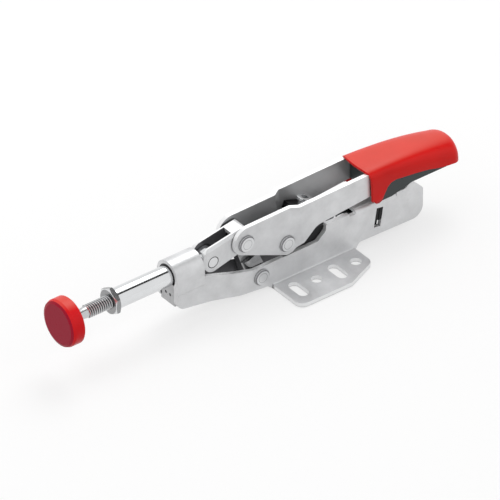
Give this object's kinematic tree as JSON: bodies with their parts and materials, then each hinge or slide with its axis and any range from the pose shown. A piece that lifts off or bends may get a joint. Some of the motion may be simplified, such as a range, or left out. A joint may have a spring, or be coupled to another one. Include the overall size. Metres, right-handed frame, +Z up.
{
  "type": "push-pull toggle clamp",
  "caption": "Inline push-pull toggle clamp: folded steel base with slotted flanges, guided round plunger with a pressure pad, and an over-centre lever with a two-part grip.",
  "frame": {"origin": "centre of the four round base holes, on the underside of the flanges", "axes": "+X is the push direction of the plunger, +Z is up out of the base, Y runs across the clamp"},
  "size_m": [0.268, 0.0666, 0.0526],
  "materials": {
    "sheet_steel": "zinc plated, satin",
    "bright_steel": "ground and polished",
    "plated_steel": "zinc plated, bright",
    "spring_steel": "drawn wire",
    "black_steel": "hardened, oil blackened",
    "red_plastic": "smooth moulding",
    "dark_plastic": "fine matt moulding",
    "red_pad": "smooth moulded cap"
  },
  "bodies": {
    "frame": {"frame_body": "sheet_steel", "nose_guide_insert": "plated_steel", "rocker_pivot_rivet": "plated_steel", "rod_guide_front": "sheet_steel", "rod_guide_rear": "sheet_steel", "clutch_plate_1": "black_steel", "clutch_plate_2": "black_steel", "clutch_spring": "spring_steel"},
    "rocker": {"rocker": "bright_steel"},
    "handle": {"handle_plate_left": "sheet_steel", "handle_plate_right": "sheet_steel", "knee_rivet": "plated_steel", "handle_rear_rivet": "plated_steel", "adjusting_nut_block": "plated_steel", "grip_shell": "red_plastic", "grip_core": "dark_plastic"},
    "plunger_link": {"plunger_link": "sheet_steel", "plunger_link_pin": "plated_steel"},
    "plunger": {"plunger": "bright_steel"},
    "pad_screw": {"pad_screw": "plated_steel", "pad": "red_pad"},
    "lock_nut": {"lock_nut": "plated_steel"},
    "adjusting_screw": {"adjusting_screw": "plated_steel"},
    "coupling_link": {"coupling_link": "sheet_steel", "rod_pin": "plated_steel"},
    "adjust_rod": {"adjust_rod": "bright_steel"}
  },
  "joints": [
    {"name": "rocker_swing", "type": "hinge", "parent": "frame", "child": "rocker", "pos_m": [0.0435, 0, 0.0113], "axis": [0, -1, 0], "range_deg": [0, 61.6]},
    {"name": "handle_lift", "type": "hinge", "parent": "rocker", "child": "handle", "pos_m": [0.054, 0, 0.038], "axis": [0, -1, 0], "range_deg": [-117.9, 0]},
    {"name": "plunger_link_turn", "type": "hinge", "parent": "handle", "child": "plunger_link", "pos_m": [0.054, 0, 0.038], "axis": [0, -1, 0], "range_deg": [0, 61.8]},
    {"name": "coupling_link_turn", "type": "hinge", "parent": "handle", "child": "coupling_link", "pos_m": [0.026, 0, 0.026], "axis": [0, -1, 0], "range_deg": [0, 121.1]},
    {"name": "adjust_rod_turn", "type": "hinge", "parent": "coupling_link", "child": "adjust_rod", "pos_m": [-0.006, 0, 0.017], "axis": [0, -1, 0], "range_deg": [-65, 0]},
    {"name": "plunger_slide", "type": "slide", "parent": "frame", "child": "plunger", "axis": [-1, 0, 0], "range_m": [0, 0.0284]},
    {"name": "pad_screw_travel", "type": "slide", "parent": "plunger", "child": "pad_screw", "axis": [1, 0, 0], "range_m": [0, 0.012]},
    {"name": "lock_nut_turn", "type": "hinge", "parent": "plunger", "child": "lock_nut", "pos_m": [0.14, 0, 0.0328], "axis": [1, 0, 0], "continuous": true},
    {"name": "adjusting_screw_turn", "type": "hinge", "parent": "handle", "child": "adjusting_screw", "pos_m": [0.007, 0, 0.0441], "axis": [-0.342, 0, 0.9397], "continuous": true}
  ],
  "couplings": [
    {"joint": "handle_lift", "follows": "rocker_swing", "ratio": -1.9109},
    {"joint": "plunger_link_turn", "follows": "rocker_swing", "ratio": 1.0001},
    {"joint": "coupling_link_turn", "follows": "rocker_swing", "ratio": 1.963},
    {"joint": "adjust_rod_turn", "follows": "rocker_swing", "ratio": -1.0521},
    {"joint": "plunger_slide", "follows": "rocker_swing", "m_per_rad": 0.026355}
  ]
}
